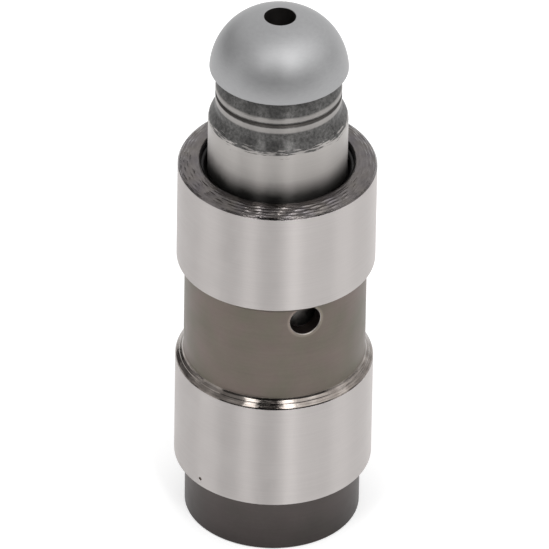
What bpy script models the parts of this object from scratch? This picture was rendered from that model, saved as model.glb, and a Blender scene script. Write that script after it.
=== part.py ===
"""Hydraulic valve lash adjuster of the pivot kind, standing on its foot. Metres, +Z up.

A closed cup holds a two-piece plunger with a ball head. A check valve hangs in its cage under
the lower plunger, and a return spring lifts the whole stack against a wire ring in the mouth.
The origin is the centre of the foot's face, and every piece turns or slides on the Z axis.
"""

import math

import bmesh
import bpy

# Housing, outside, from the foot up
LAND_RADIUS = 0.00600
FOOT_STEP = 0.00068
FOOT_EDGE = 0.00012
FOOT_HEIGHT = 0.00333
FOOT_CHAMFER_HEIGHT = 0.00048
LOWER_LAND_HEIGHT = 0.00705
GROOVE_DEPTH = 0.00050
LOWER_SHOULDER_HEIGHT = 0.00067
SHOULDER_EDGE_WIDTH = 0.00009
SHOULDER_EDGE_HEIGHT = 0.00017
GROOVE_HEIGHT = 0.00627
UPPER_CHAMFER_HEIGHT = 0.00044
UPPER_LAND_HEIGHT = 0.00700
TOP_EDGE_WIDTH = 0.00010
TOP_EDGE_HEIGHT = 0.00015
TOP_SLOPE_WIDTH = 0.00070
TOP_SLOPE_HEIGHT = 0.00025

# Housing, inside
WALL = 0.00140
FLOOR_THICKNESS = 0.00260
FLOOR_FILLET = 0.00040
MOUTH_CHAMFER_WIDTH = 0.00020
MOUTH_CHAMFER_HEIGHT = 0.00014
OIL_HOLE_RADIUS = 0.00094
OIL_HOLE_DROP = 0.00090

# Retaining ring, split round wire
RING_WIRE = 0.00060
RING_DEPTH = 0.00069
RING_OPENING = math.radians(32)

# Clearances
GUIDE_CLEARANCE = 0.00003
SEAT_GAP = 0.00002
RING_CLEARANCE = 0.00006
GROOVE_CLEARANCE = 0.00003
CAGE_CLEARANCE = 0.00008
COIL_CLEARANCE = 0.00010

# Ball plunger
STOP_CONE_DEPTH = 0.00036
STEM_LENGTH = 0.00396
STEM_ROUNDING = 0.00090
NECK_SHOULDER_HEIGHT = 0.00070
NECK_RADIUS = 0.00380
NECK_FILLET = 0.00050
NECK_LENGTH = 0.00282
NECK_GROOVE_RISE = 0.00105
NECK_GROOVE_WIDTH = 0.00026
NECK_GROOVE_DEPTH = 0.00012
NECK_BEAD_RISE = 0.00042
NECK_COVE_DEPTH = 0.00034
NECK_COVE_HEIGHT = 0.00030
NECK_COVE_FILLET = 0.00025
HEAD_RADIUS = 0.00419
HEAD_EDGE_RISE = 0.00029
HEAD_HOLE_RADIUS = 0.00095
HEAD_HOLE_EDGE = 0.00005
SKIRT_LENGTH = 0.01023
SKIRT_EDGE = 0.00015
RELIEF_DEPTH = 0.00042
RELIEF_MARGIN = 0.00030
PLUNGER_WALL = 0.00131
RESERVOIR_DEPTH = 0.01640
DRILL_POINT_ANGLE = math.radians(118)
FEED_HOLE_RADIUS = 0.00075
FEED_HOLE_DROP = 0.00140
PLUNGER_TRAVEL = 0.00300

# Pressure plunger and check valve
PRESSURE_PLUNGER_LENGTH = 0.00470
PORT_RADIUS = 0.00070
PORT_LENGTH = 0.00150
VALVE_SEAT_DEPTH = 0.00060
VALVE_SEAT_HALF_ANGLE = math.radians(45)
CHECK_BALL_RADIUS = 0.00120
CHECK_BALL_LIFT = 0.00030
CAGE_SHEET = 0.00035
CAGE_RECESS_WALL = 0.00084
CAGE_RECESS_LIP = 0.00030
CAGE_BALL_ROOM = 0.00015
CAGE_STOP_HEIGHT = 0.00055
CAGE_STOP_RADIUS = 0.00040
CAGE_STOP_FLARE = 0.00018
CAGE_BEND = 0.00020
CAGE_WINDOWS = 3
CAGE_WINDOW_WIDTH = 0.00110
CAGE_WINDOW_HEIGHT = 0.00090

# Springs
RETURN_WIRE = 0.00060
RETURN_TURNS = 5
CHECK_WIRE = 0.00020
CHECK_TURNS = 2.5
DEAD_COIL_GAP = 0.00003

# Fineness of the round shapes
TURN_STEPS = 60
FILLET_STEPS = 3
HEAD_STEPS = 10
HOLE_SIDES = 24
BALL_SIDES = 24
COIL_STEPS = 20
CHECK_COIL_STEPS = 16

# Levels along the axis, in the assembly at rest
FOOT_TOP = FOOT_HEIGHT
LOWER_LAND_BOTTOM = FOOT_TOP + FOOT_CHAMFER_HEIGHT
LOWER_LAND_TOP = LOWER_LAND_BOTTOM + LOWER_LAND_HEIGHT
GROOVE_BOTTOM = LOWER_LAND_TOP + LOWER_SHOULDER_HEIGHT
GROOVE_TOP = GROOVE_BOTTOM + GROOVE_HEIGHT
UPPER_LAND_BOTTOM = GROOVE_TOP + UPPER_CHAMFER_HEIGHT
HOUSING_TOP = UPPER_LAND_BOTTOM + UPPER_LAND_HEIGHT
OIL_HOLE_Z = GROOVE_TOP - OIL_HOLE_DROP

# Radii, worked inwards from the ground lands
FOOT_RADIUS = LAND_RADIUS - FOOT_STEP
GROOVE_RADIUS = LAND_RADIUS - GROOVE_DEPTH
BORE_RADIUS = LAND_RADIUS - WALL
MOUTH_RADIUS = BORE_RADIUS + MOUTH_CHAMFER_WIDTH
GUIDE_RADIUS = BORE_RADIUS - GUIDE_CLEARANCE
STEM_RADIUS = GUIDE_RADIUS - STOP_CONE_DEPTH
RESERVOIR_RADIUS = STEM_RADIUS - PLUNGER_WALL
CAGE_RECESS_RADIUS = GUIDE_RADIUS - CAGE_RECESS_WALL
CAGE_FLANGE_RADIUS = CAGE_RECESS_RADIUS - CAGE_CLEARANCE

# The ring clears the stem, and its wire stops the plunger on a 45 degree cone
RING_INNER_RADIUS = STEM_RADIUS + RING_CLEARANCE
RING_CENTRE_RADIUS = RING_INNER_RADIUS + RING_WIRE / 2
RING_OUTER_RADIUS = RING_INNER_RADIUS + RING_WIRE
RING_Z = HOUSING_TOP - RING_DEPTH
RING_GROOVE_RADIUS = RING_OUTER_RADIUS + GROOVE_CLEARANCE
RING_GROOVE_HALF = RING_WIRE / 2 + GROOVE_CLEARANCE
STOP_CONE_SUM = RING_CENTRE_RADIUS + RING_Z - math.sqrt(2) * (RING_WIRE / 2 + SEAT_GAP)
SKIRT_TOP = STOP_CONE_SUM - GUIDE_RADIUS
STEM_BOTTOM = STOP_CONE_SUM - STEM_RADIUS
SKIRT_BOTTOM = SKIRT_TOP - SKIRT_LENGTH

PRESSURE_TOP = SKIRT_BOTTOM - SEAT_GAP
PRESSURE_BOTTOM = PRESSURE_TOP - PRESSURE_PLUNGER_LENGTH
CAGE_RECESS_TOP = PRESSURE_BOTTOM + CAGE_SHEET + CAGE_RECESS_LIP
CAGE_TOP = CAGE_RECESS_TOP - SEAT_GAP
FLANGE_BOTTOM = CAGE_TOP - CAGE_SHEET

# The ball touches the seat's cone where the cone's normal passes through its centre
PORT_BOTTOM = CAGE_RECESS_TOP + VALVE_SEAT_DEPTH
PORT_TOP = PORT_BOTTOM + PORT_LENGTH
SEAT_MOUTH_RADIUS = PORT_RADIUS + VALVE_SEAT_DEPTH * math.tan(VALVE_SEAT_HALF_ANGLE)
SEAT_APEX_Z = PORT_BOTTOM + PORT_RADIUS / math.tan(VALVE_SEAT_HALF_ANGLE)
CHECK_BALL_Z = SEAT_APEX_Z - (CHECK_BALL_RADIUS + SEAT_GAP) / math.sin(VALVE_SEAT_HALF_ANGLE)
CAGE_STOP_Z = CHECK_BALL_Z - CHECK_BALL_RADIUS - CHECK_BALL_LIFT
CAGE_FLOOR = CAGE_STOP_Z - CAGE_STOP_HEIGHT
CAGE_BOTTOM = CAGE_FLOOR - CAGE_SHEET
CAGE_INNER_RADIUS = CHECK_BALL_RADIUS + CAGE_BALL_ROOM
CAGE_OUTER_RADIUS = CAGE_INNER_RADIUS + CAGE_SHEET
CAGE_WINDOW_Z = (CAGE_FLOOR + FLANGE_BOTTOM) / 2

RETURN_COIL_RADIUS = CAGE_FLANGE_RADIUS - COIL_CLEARANCE - RETURN_WIRE / 2
RETURN_BOTTOM = FLOOR_THICKNESS + SEAT_GAP
RETURN_TOP = FLANGE_BOTTOM - SEAT_GAP
CHECK_COIL_RADIUS = CAGE_STOP_RADIUS + CAGE_STOP_FLARE + COIL_CLEARANCE + CHECK_WIRE / 2
CHECK_COIL_BOTTOM = CAGE_FLOOR + SEAT_GAP + CHECK_WIRE / 2
CHECK_COIL_TOP = CHECK_BALL_Z - math.sqrt(
    (CHECK_BALL_RADIUS + CHECK_WIRE / 2 + SEAT_GAP) ** 2 - CHECK_COIL_RADIUS**2
)


def clear_scene():
    for item in list(bpy.data.objects):
        bpy.data.objects.remove(item, do_unlink=True)


def metal(name, colour, roughness):
    """A Principled metal with a linear base colour."""
    material = bpy.data.materials.new(name)
    material.use_nodes = True
    shader = material.node_tree.nodes["Principled BSDF"]
    shader.inputs["Base Color"].default_value = (*colour, 1.0)
    shader.inputs["Metallic"].default_value = 1.0
    shader.inputs["Roughness"].default_value = roughness
    return material


def outline(*corners):
    """Points (r, z) along straight lines whose corners (r, z, radius) are rounded by arcs.

    A fillet that would run past the middle of a neighbouring line is made smaller to fit.
    """
    points = []
    for i, corner in enumerate(corners):
        r, z = corner[:2]
        radius = corner[2] if len(corner) > 2 else 0.0
        if radius == 0.0:
            points.append((r, z))
            continue
        before = (corners[i - 1][0] - r, corners[i - 1][1] - z)
        following = corners[(i + 1) % len(corners)]
        after = (following[0] - r, following[1] - z)
        reach_before = math.hypot(*before)
        reach_after = math.hypot(*after)
        before = (before[0] / reach_before, before[1] / reach_before)
        after = (after[0] / reach_after, after[1] / reach_after)
        half = math.acos(before[0] * after[0] + before[1] * after[1]) / 2
        tangent = min(radius / math.tan(half), 0.49 * reach_before, 0.49 * reach_after)
        radius = tangent * math.tan(half)
        middle = (before[0] + after[0], before[1] + after[1])
        scale = radius / math.sin(half) / math.hypot(*middle)
        centre = (r + middle[0] * scale, z + middle[1] * scale)
        start = math.atan2(z + before[1] * tangent - centre[1], r + before[0] * tangent - centre[0])
        end = math.atan2(z + after[1] * tangent - centre[1], r + after[0] * tangent - centre[0])
        points += arc(centre, radius, start, math.remainder(end - start, 2 * math.pi), FILLET_STEPS)
    return points


def arc(centre, radius, start, sweep, steps):
    """Points (r, z) on a circle, from an angle and through a sweep."""
    angles = [start + sweep * i / steps for i in range(steps + 1)]
    return [(centre[0] + radius * math.cos(a), centre[1] + radius * math.sin(a)) for a in angles]


def turned(name, points, base, material, closed):
    """A piece turned about Z from an outline, with its origin on the axis at height base.

    The outline runs down the outer side. An open one starts and ends on the axis.
    """
    mesh = bpy.data.meshes.new(name)
    edges = [(i, i + 1) for i in range(len(points) - 1)]
    if closed:
        edges.append((len(points) - 1, 0))
    mesh.from_pydata([(r, 0.0, z - base) for r, z in points], edges, [])
    piece = bpy.data.objects.new(name, mesh)
    bpy.context.collection.objects.link(piece)
    piece.location.z = base
    lathe = piece.modifiers.new("turned", "SCREW")
    lathe.axis = "Z"
    lathe.angle = 2 * math.pi
    lathe.steps = TURN_STEPS
    lathe.render_steps = TURN_STEPS
    lathe.use_merge_vertices = True
    lathe.merge_threshold = 1e-7
    lathe.use_smooth_shade = True
    mesh.materials.append(material)
    return piece


def mesh_object(name, shape, material=None):
    """A smooth mesh object made from a bmesh, with edges over 30 degrees kept sharp."""
    mesh = bpy.data.meshes.new(name)
    shape.to_mesh(mesh)
    shape.free()
    mesh.shade_smooth()
    mesh.set_sharp_from_angle(angle=math.radians(30))
    piece = bpy.data.objects.new(name, mesh)
    bpy.context.collection.objects.link(piece)
    if material:
        mesh.materials.append(material)
    return piece


def cut(piece, cutter, name, operation="DIFFERENCE"):
    """Applies a hidden cutter to a piece, and carries the cutter along with it."""
    cutter.hide_render = True
    cutter.display_type = "WIRE"
    change = piece.modifiers.new(name, "BOOLEAN")
    change.operation = operation
    change.object = cutter
    change.solver = "EXACT"


def radial_drill(name, radius, start, end, z, angle):
    """A cylinder along a radius from start to end, at an angle about Z from -Y."""
    shape = bmesh.new()
    bmesh.ops.create_cone(
        shape, cap_ends=True, segments=HOLE_SIDES, radius1=radius, radius2=radius, depth=end - start
    )
    drill = mesh_object(name, shape)
    middle = (start + end) / 2
    drill.location = (middle * math.sin(angle), -middle * math.cos(angle), z)
    drill.rotation_euler = (math.pi / 2, 0.0, angle)
    return drill


def wire_coil(name, path, wire, material):
    """A round wire along a path of points, as a closed mesh."""
    curve = bpy.data.curves.new(name, "CURVE")
    curve.dimensions = "3D"
    spline = curve.splines.new("POLY")
    spline.points.add(len(path) - 1)
    for point, place in zip(spline.points, path):
        point.co = (*place, 1.0)
    curve.bevel_depth = wire / 2
    curve.bevel_resolution = 2
    curve.use_fill_caps = True
    bent = bpy.data.objects.new(name + "_path", curve)
    bpy.context.collection.objects.link(bent)
    shape = bmesh.new()
    shape.from_mesh(bent.to_mesh())
    bmesh.ops.remove_doubles(shape, verts=shape.verts, dist=1e-7)
    bmesh.ops.recalc_face_normals(shape, faces=shape.faces)
    bpy.data.objects.remove(bent)
    bpy.data.curves.remove(curve)
    return mesh_object(name, shape, material)


def coil_path(radius, turns, steps, heights):
    """Points round the axis at a radius. heights gives z for a number of turns."""
    count = round(turns * steps)
    path = []
    for i in range(count + 1):
        turn = turns * i / count
        angle = 2 * math.pi * turn
        path.append((radius * math.cos(angle), radius * math.sin(angle), heights(turn)))
    return path


def housing(material):
    """The cup. Its oil groove lies between two ground lands, and the ring groove is near the mouth."""
    lip_bottom = HOUSING_TOP - MOUTH_CHAMFER_HEIGHT
    slope_radius = LAND_RADIUS - TOP_EDGE_WIDTH
    slope_bottom = HOUSING_TOP - TOP_SLOPE_HEIGHT
    points = outline(
        (0.0, FLOOR_THICKNESS),
        (BORE_RADIUS, FLOOR_THICKNESS, FLOOR_FILLET),
        (BORE_RADIUS, RING_Z - RING_GROOVE_HALF),
        (RING_GROOVE_RADIUS, RING_Z - RING_GROOVE_HALF),
        (RING_GROOVE_RADIUS, RING_Z + RING_GROOVE_HALF),
        (BORE_RADIUS, RING_Z + RING_GROOVE_HALF),
        (BORE_RADIUS, lip_bottom),
        (MOUTH_RADIUS, HOUSING_TOP),
        (slope_radius - TOP_SLOPE_WIDTH, HOUSING_TOP),
        (slope_radius, slope_bottom),
        (LAND_RADIUS, slope_bottom - TOP_EDGE_HEIGHT),
        (LAND_RADIUS, UPPER_LAND_BOTTOM),
        (GROOVE_RADIUS, GROOVE_TOP),
        (GROOVE_RADIUS, GROOVE_BOTTOM),
        (GROOVE_RADIUS + SHOULDER_EDGE_WIDTH, GROOVE_BOTTOM - SHOULDER_EDGE_HEIGHT),
        (LAND_RADIUS - SHOULDER_EDGE_WIDTH, LOWER_LAND_TOP + SHOULDER_EDGE_HEIGHT),
        (LAND_RADIUS, LOWER_LAND_TOP),
        (LAND_RADIUS, LOWER_LAND_BOTTOM),
        (FOOT_RADIUS, FOOT_TOP),
        (FOOT_RADIUS, FOOT_EDGE),
        (FOOT_RADIUS - FOOT_EDGE, 0.0),
        (0.0, 0.0),
    )
    cup = turned("housing", points, 0.0, material, closed=False)
    past_wall = LAND_RADIUS + OIL_HOLE_RADIUS
    drill = radial_drill("oil_hole", OIL_HOLE_RADIUS, BORE_RADIUS / 2, past_wall, OIL_HOLE_Z, 0.0)
    cut(cup, drill, "oil hole")
    return cup


def ball_plunger(material):
    """The hollow plunger: ball head, neck, ground stem, and the skirt with its oil relief."""
    stem_top = STEM_BOTTOM + STEM_LENGTH
    neck_bottom = stem_top + NECK_SHOULDER_HEIGHT
    groove_z = neck_bottom + NECK_GROOVE_RISE
    edge_z = neck_bottom + NECK_LENGTH
    centre_z = edge_z - HEAD_EDGE_RISE
    cove_radius = NECK_RADIUS - NECK_COVE_DEPTH
    relief_radius = GUIDE_RADIUS - RELIEF_DEPTH
    relief_bottom = OIL_HOLE_Z - OIL_HOLE_RADIUS - RELIEF_MARGIN
    relief_top = OIL_HOLE_Z + OIL_HOLE_RADIUS + PLUNGER_TRAVEL + RELIEF_MARGIN
    reservoir_top = SKIRT_BOTTOM + RESERVOIR_DEPTH
    point_height = (RESERVOIR_RADIUS - HEAD_HOLE_RADIUS) / math.tan(DRILL_POINT_ANGLE / 2)
    hole_edge_angle = math.acos((HEAD_HOLE_RADIUS + HEAD_HOLE_EDGE) / HEAD_RADIUS)
    head_edge_angle = math.asin(HEAD_EDGE_RISE / HEAD_RADIUS)
    hole_top = centre_z + HEAD_RADIUS * math.sin(hole_edge_angle) - HEAD_HOLE_EDGE
    points = arc(
        (0.0, centre_z), HEAD_RADIUS, hole_edge_angle, head_edge_angle - hole_edge_angle, HEAD_STEPS
    )
    points += outline(
        (cove_radius, edge_z),
        (cove_radius, edge_z - NECK_COVE_HEIGHT, NECK_COVE_FILLET),
        (NECK_RADIUS, groove_z + NECK_BEAD_RISE),
        (NECK_RADIUS, groove_z + NECK_GROOVE_WIDTH / 2),
        (NECK_RADIUS - NECK_GROOVE_DEPTH, groove_z),
        (NECK_RADIUS, groove_z - NECK_GROOVE_WIDTH / 2),
        (NECK_RADIUS, neck_bottom, NECK_FILLET),
        (STEM_RADIUS, stem_top, STEM_ROUNDING),
        (STEM_RADIUS, STEM_BOTTOM),
        (GUIDE_RADIUS, SKIRT_TOP),
        (GUIDE_RADIUS, relief_top + RELIEF_DEPTH),
        (relief_radius, relief_top),
        (relief_radius, relief_bottom),
        (GUIDE_RADIUS, relief_bottom - RELIEF_DEPTH),
        (GUIDE_RADIUS, SKIRT_BOTTOM + SKIRT_EDGE),
        (GUIDE_RADIUS - SKIRT_EDGE, SKIRT_BOTTOM),
        (RESERVOIR_RADIUS, SKIRT_BOTTOM),
        (RESERVOIR_RADIUS, reservoir_top),
        (HEAD_HOLE_RADIUS, reservoir_top + point_height),
        (HEAD_HOLE_RADIUS, hole_top),
    )
    plunger = turned("ball_plunger", points, SKIRT_BOTTOM, material, closed=True)
    feed = radial_drill(
        "feed_hole",
        FEED_HOLE_RADIUS,
        RESERVOIR_RADIUS / 2,
        GUIDE_RADIUS + FEED_HOLE_RADIUS,
        relief_top - FEED_HOLE_DROP,
        math.pi / 2,
    )
    cut(plunger, feed, "feed hole")
    feed.parent = plunger
    feed.matrix_parent_inverse = plunger.matrix_basis.inverted()
    return plunger


def pressure_plunger(material):
    """The lower plunger: a shallow cup above, the port and its seat, and a recess for the cage below."""
    points = outline(
        (RESERVOIR_RADIUS, PRESSURE_TOP),
        (GUIDE_RADIUS - SKIRT_EDGE, PRESSURE_TOP),
        (GUIDE_RADIUS, PRESSURE_TOP - SKIRT_EDGE),
        (GUIDE_RADIUS, PRESSURE_BOTTOM + SKIRT_EDGE),
        (GUIDE_RADIUS - SKIRT_EDGE, PRESSURE_BOTTOM),
        (CAGE_RECESS_RADIUS, PRESSURE_BOTTOM),
        (CAGE_RECESS_RADIUS, CAGE_RECESS_TOP),
        (SEAT_MOUTH_RADIUS, CAGE_RECESS_TOP),
        (PORT_RADIUS, PORT_BOTTOM),
        (PORT_RADIUS, PORT_TOP),
        (RESERVOIR_RADIUS, PORT_TOP, FLOOR_FILLET),
    )
    return turned("pressure_plunger", points, PRESSURE_BOTTOM, material, closed=True)


def check_ball_cage(material):
    """A top hat stamped from sheet, with a raised stop in its floor and windows round its wall."""
    stop_base = CAGE_STOP_RADIUS + CAGE_STOP_FLARE
    hollow_top = max(CAGE_STOP_RADIUS - CAGE_SHEET / 2, CAGE_STOP_RADIUS / 3)
    points = outline(
        (0.0, CAGE_STOP_Z),
        (CAGE_STOP_RADIUS, CAGE_STOP_Z),
        (stop_base, CAGE_FLOOR),
        (CAGE_INNER_RADIUS, CAGE_FLOOR),
        (CAGE_INNER_RADIUS, CAGE_TOP, CAGE_BEND),
        (CAGE_FLANGE_RADIUS, CAGE_TOP),
        (CAGE_FLANGE_RADIUS, FLANGE_BOTTOM),
        (CAGE_OUTER_RADIUS, FLANGE_BOTTOM),
        (CAGE_OUTER_RADIUS, CAGE_BOTTOM, CAGE_BEND),
        (hollow_top + CAGE_STOP_FLARE, CAGE_BOTTOM),
        (hollow_top, CAGE_STOP_Z - CAGE_SHEET),
        (0.0, CAGE_STOP_Z - CAGE_SHEET),
    )
    cage = turned("check_ball_cage", points, CAGE_BOTTOM, material, closed=False)
    for i in range(CAGE_WINDOWS):
        angle = 2 * math.pi * i / CAGE_WINDOWS
        shape = bmesh.new()
        bmesh.ops.create_cube(shape, size=1.0)
        size = (CAGE_WINDOW_WIDTH, CAGE_OUTER_RADIUS, CAGE_WINDOW_HEIGHT)
        bmesh.ops.scale(shape, vec=size, verts=shape.verts)
        window = mesh_object(f"cage_window_{i + 1}", shape)
        window.location = (
            CAGE_OUTER_RADIUS * math.sin(angle),
            -CAGE_OUTER_RADIUS * math.cos(angle),
            CAGE_WINDOW_Z,
        )
        window.rotation_euler.z = angle
        cut(cage, window, f"window {i + 1}")
    return cage


def check_ball(material):
    shape = bmesh.new()
    bmesh.ops.create_uvsphere(
        shape, u_segments=BALL_SIDES, v_segments=BALL_SIDES // 2, radius=CHECK_BALL_RADIUS
    )
    ball = mesh_object("check_ball", shape, material)
    ball.location.z = CHECK_BALL_Z
    return ball


def check_ball_spring(material):
    """A plain coil between the cage's floor and the ball, round the raised stop."""
    rise = CHECK_COIL_TOP - CHECK_COIL_BOTTOM
    path = coil_path(
        CHECK_COIL_RADIUS, CHECK_TURNS, CHECK_COIL_STEPS, lambda turn: rise * turn / CHECK_TURNS
    )
    spring = wire_coil("check_ball_spring", path, CHECK_WIRE, material)
    spring.location.z = CHECK_COIL_BOTTOM
    return spring


def return_spring(material):
    """A compression spring with a closed coil at each end, ground flat through half its wire."""
    length = RETURN_TOP - RETURN_BOTTOM
    closed_rise = RETURN_WIRE + DEAD_COIL_GAP
    open_rise = length - 2 * closed_rise

    def height(turn):
        along = min(max(turn - 1, 0.0), RETURN_TURNS - 2) / (RETURN_TURNS - 2)
        ends = min(turn, 1.0) + max(turn - RETURN_TURNS + 1, 0.0)
        return closed_rise * ends + open_rise * along

    path = coil_path(RETURN_COIL_RADIUS, RETURN_TURNS, COIL_STEPS, height)
    spring = wire_coil("return_spring", path, RETURN_WIRE, material)
    spring.location.z = RETURN_BOTTOM
    shape = bmesh.new()
    wide = RETURN_COIL_RADIUS + RETURN_WIRE
    bmesh.ops.create_cone(
        shape, cap_ends=True, segments=HOLE_SIDES, radius1=wide, radius2=wide, depth=length
    )
    ground = mesh_object("return_spring_ground_ends", shape)
    ground.location.z = RETURN_BOTTOM + length / 2
    cut(spring, ground, "ground ends", "INTERSECT")
    return spring


def retaining_ring(material):
    """A ring of round wire, open over a short arc at the back."""
    turn = 1 - RING_OPENING / (2 * math.pi)
    path = coil_path(RING_CENTRE_RADIUS, turn, TURN_STEPS, lambda _: 0.0)
    ring = wire_coil("retaining_ring", path, RING_WIRE, material)
    ring.location.z = RING_Z
    ring.rotation_euler.z = math.pi / 2 + RING_OPENING / 2
    return ring


def carrier(name, z, parent, *pieces):
    """An empty on a joint's axis, with the pieces that move with it."""
    joint = bpy.data.objects.new(name, None)
    bpy.context.collection.objects.link(joint)
    joint.location.z = z
    bpy.context.view_layer.update()
    for child in pieces:
        child.parent = joint
        child.matrix_parent_inverse = joint.matrix_world.inverted()
    if parent:
        joint.parent = parent
        joint.matrix_parent_inverse = parent.matrix_world.inverted()
    return joint


def main():
    clear_scene()
    ground_steel = metal("ground bearing steel", (0.46, 0.44, 0.42), 0.30)
    hardened_steel = metal("as-hardened steel", (0.24, 0.23, 0.22), 0.45)
    black_wire = metal("black oxide spring wire", (0.03, 0.03, 0.03), 0.50)
    spring_wire = metal("oil-tempered spring wire", (0.16, 0.16, 0.17), 0.40)
    pressed_sheet = metal("pressed steel sheet", (0.35, 0.34, 0.33), 0.38)
    polished_ball = metal("lapped ball steel", (0.56, 0.56, 0.57), 0.12)

    housing(ground_steel)
    retaining_ring(black_wire)
    return_spring(spring_wire)
    upper = ball_plunger(ground_steel)
    lower = pressure_plunger(hardened_steel)
    cage = check_ball_cage(pressed_sheet)
    valve_spring = check_ball_spring(spring_wire)
    ball = check_ball(polished_ball)

    slide = carrier("plunger_slide", SKIRT_TOP, None, lower, cage, valve_spring)
    carrier("plunger_spin", SKIRT_TOP, slide, upper)
    carrier("check_ball_lift", CHECK_BALL_Z, slide, ball)


main()
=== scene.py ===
import math

import bpy
import numpy as np
from mathutils import Matrix, Vector


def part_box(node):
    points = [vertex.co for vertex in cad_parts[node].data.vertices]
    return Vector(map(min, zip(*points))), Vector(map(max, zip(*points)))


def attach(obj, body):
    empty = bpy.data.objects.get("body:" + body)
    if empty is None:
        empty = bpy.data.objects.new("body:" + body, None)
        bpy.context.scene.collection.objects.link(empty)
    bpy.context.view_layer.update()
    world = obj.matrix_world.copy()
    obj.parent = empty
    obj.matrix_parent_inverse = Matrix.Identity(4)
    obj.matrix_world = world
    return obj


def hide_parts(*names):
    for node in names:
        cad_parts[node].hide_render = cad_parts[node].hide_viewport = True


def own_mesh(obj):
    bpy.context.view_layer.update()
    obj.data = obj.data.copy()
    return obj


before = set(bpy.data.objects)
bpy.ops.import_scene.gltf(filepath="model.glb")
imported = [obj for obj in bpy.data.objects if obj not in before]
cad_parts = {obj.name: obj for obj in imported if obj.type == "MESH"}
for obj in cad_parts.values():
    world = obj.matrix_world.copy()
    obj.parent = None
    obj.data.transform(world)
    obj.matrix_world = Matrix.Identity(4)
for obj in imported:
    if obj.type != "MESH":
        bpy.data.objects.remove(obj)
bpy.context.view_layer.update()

# A hydraulic valve lash adjuster on white paper. Lengths are in millimetres until a mesh is made.
mm = 0.001  # in metres
near = 0.01  # a face this close past a size still belongs to it
skim = 0.012  # a ground face lies no deeper than this under its size
columns = 240  # steps round a turned surface
arcSteps = 6  # steps round a fillet
arcShare = 0.46  # a fillet takes up at most this share of the flat on either side of it
arcHold = 0.02  # a point this far past each end of a fillet keeps the flat beside it flat,
holdShare = 0.2  # and is at most this share of the fillet's room away from that end
drillSteps = 72  # steps round a drilled hole
lipRings = 5  # rings of its rounded lip,
lipArc = 0.42 * math.pi  # which turns outwards by a little less than a quarter turn
sharpAngle = 35  # degrees: an edge that bends by more than this is sharp


def frameBox(node):
    # a CAD node's lowest and highest corners, in mm
    low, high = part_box(node)
    return np.array(low) / mm, np.array(high) / mm


def linear(hexColour):
    # sRGB hex to linear light: v / 12.92 near black, else ((v + 0.055) / 1.055) to the power 2.4
    parts = [int(hexColour[i:i + 2], 16) / 255 for i in (1, 3, 5)]
    return [v / 12.92 if v <= 0.04045 else ((v + 0.055) / 1.055) ** 2.4 for v in parts] + [1.0]


def joinSockets(tree, node, links):
    # feeds each socket of the node from its (node, output)
    for key, (source, output) in links.items():
        tree.links.new(source.outputs[output], node.inputs[key])


def addNode(tree, kind, settings=None, links=None):
    # settings are the node's own values or its sockets', links are sockets fed by (node, output)
    node = tree.nodes.new(kind)
    for key, value in (settings or {}).items():
        if isinstance(key, str) and hasattr(node, key):
            setattr(node, key, value)
        else:
            node.inputs[key].default_value = value
    joinSockets(tree, node, links or {})
    return node


def newMaterial(name):
    # an empty Principled material, its tree and its shader
    material = bpy.data.materials.new(name)
    material.use_nodes = True
    return material, material.node_tree, material.node_tree.nodes["Principled BSDF"]


# Shapes

def roundedOutline(corners):
    # Each corner (r, z, fillet) becomes the arc that touches both its lines, as the rational quadratic
    # curve ((1-t)^2 A + 2t(1-t) w P + t^2 B) / its weights, where w is the sine of half the corner.
    # A point is kept a little before and after each arc, so that the flats beside it shade flat.
    corners = np.array(corners, float)
    place, fillet = corners[:, :2], corners[:, 2]
    back = np.roll(place, 1, axis=0) - place
    ahead = np.roll(place, -1, axis=0) - place
    backLength = np.linalg.norm(back, axis=1, keepdims=True)
    aheadLength = np.linalg.norm(ahead, axis=1, keepdims=True)
    back, ahead = back / backLength, ahead / aheadLength
    half = np.arccos(np.clip((back * ahead).sum(axis=1, keepdims=True), -1, 1)) / 2
    room = arcShare * np.minimum(backLength, aheadLength)
    reach = np.minimum(fillet[:, None] / np.tan(half), room)
    t = np.linspace(0, 1, arcSteps + 1)[None, :, None]
    start, end = (place + back * reach)[:, None], (place + ahead * reach)[:, None]
    weight = np.sin(half)[:, :, None]
    arcs = (1 - t) ** 2 * start + 2 * t * (1 - t) * weight * place[:, None] + t ** 2 * end
    arcs /= (1 - t) ** 2 + 2 * t * (1 - t) * weight + t ** 2
    hold = reach + np.minimum(arcHold, holdShare * room)
    before, after = (place + back * hold)[:, None], (place + ahead * hold)[:, None]
    whole = np.concatenate([before, arcs, after], axis=1)
    sharp = np.repeat(place[:, None], whole.shape[1], axis=1)
    whole = np.where((fillet > 0)[:, None, None], whole, sharp)
    keep = np.ones(whole.shape[:2], bool)
    keep[fillet == 0, 1:] = False
    return whole[keep]


def ballOutline(radius, middle, rings):
    # half a circle from pole to pole: r = R cos a, z = middle + R sin a, with both ends on the axis
    angle = np.linspace(-np.pi / 2, np.pi / 2, rings)
    outline = np.stack([radius * np.cos(angle), middle + radius * np.sin(angle)], axis=-1)
    outline[[0, -1], 0] = 0
    return outline


def gridFaces(rows, across, closedRows):
    # quads between neighbouring rows and columns, with the columns closed round the axis
    i = np.arange(rows if closedRows else rows - 1)[:, None]
    j = np.arange(across)[None, :]
    nextRow, nextColumn = (i + 1) % rows, (j + 1) % across
    corners = (i * across + j, i * across + nextColumn,
               nextRow * across + nextColumn, nextRow * across + j)
    return np.stack(np.broadcast_arrays(*corners), axis=-1).reshape(-1, 4)


def endFaces(rows, across):
    # two fans of triangles, which close a grid's first and last row on the two points that follow it
    j = np.arange(across)
    after = (j + 1) % across
    first, last, final = rows * across, rows * across + 1, (rows - 1) * across
    return [np.stack([np.full(across, first), after, j], axis=-1),
            np.stack([final + j, final + after, np.full(across, last)], axis=-1)]


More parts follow.
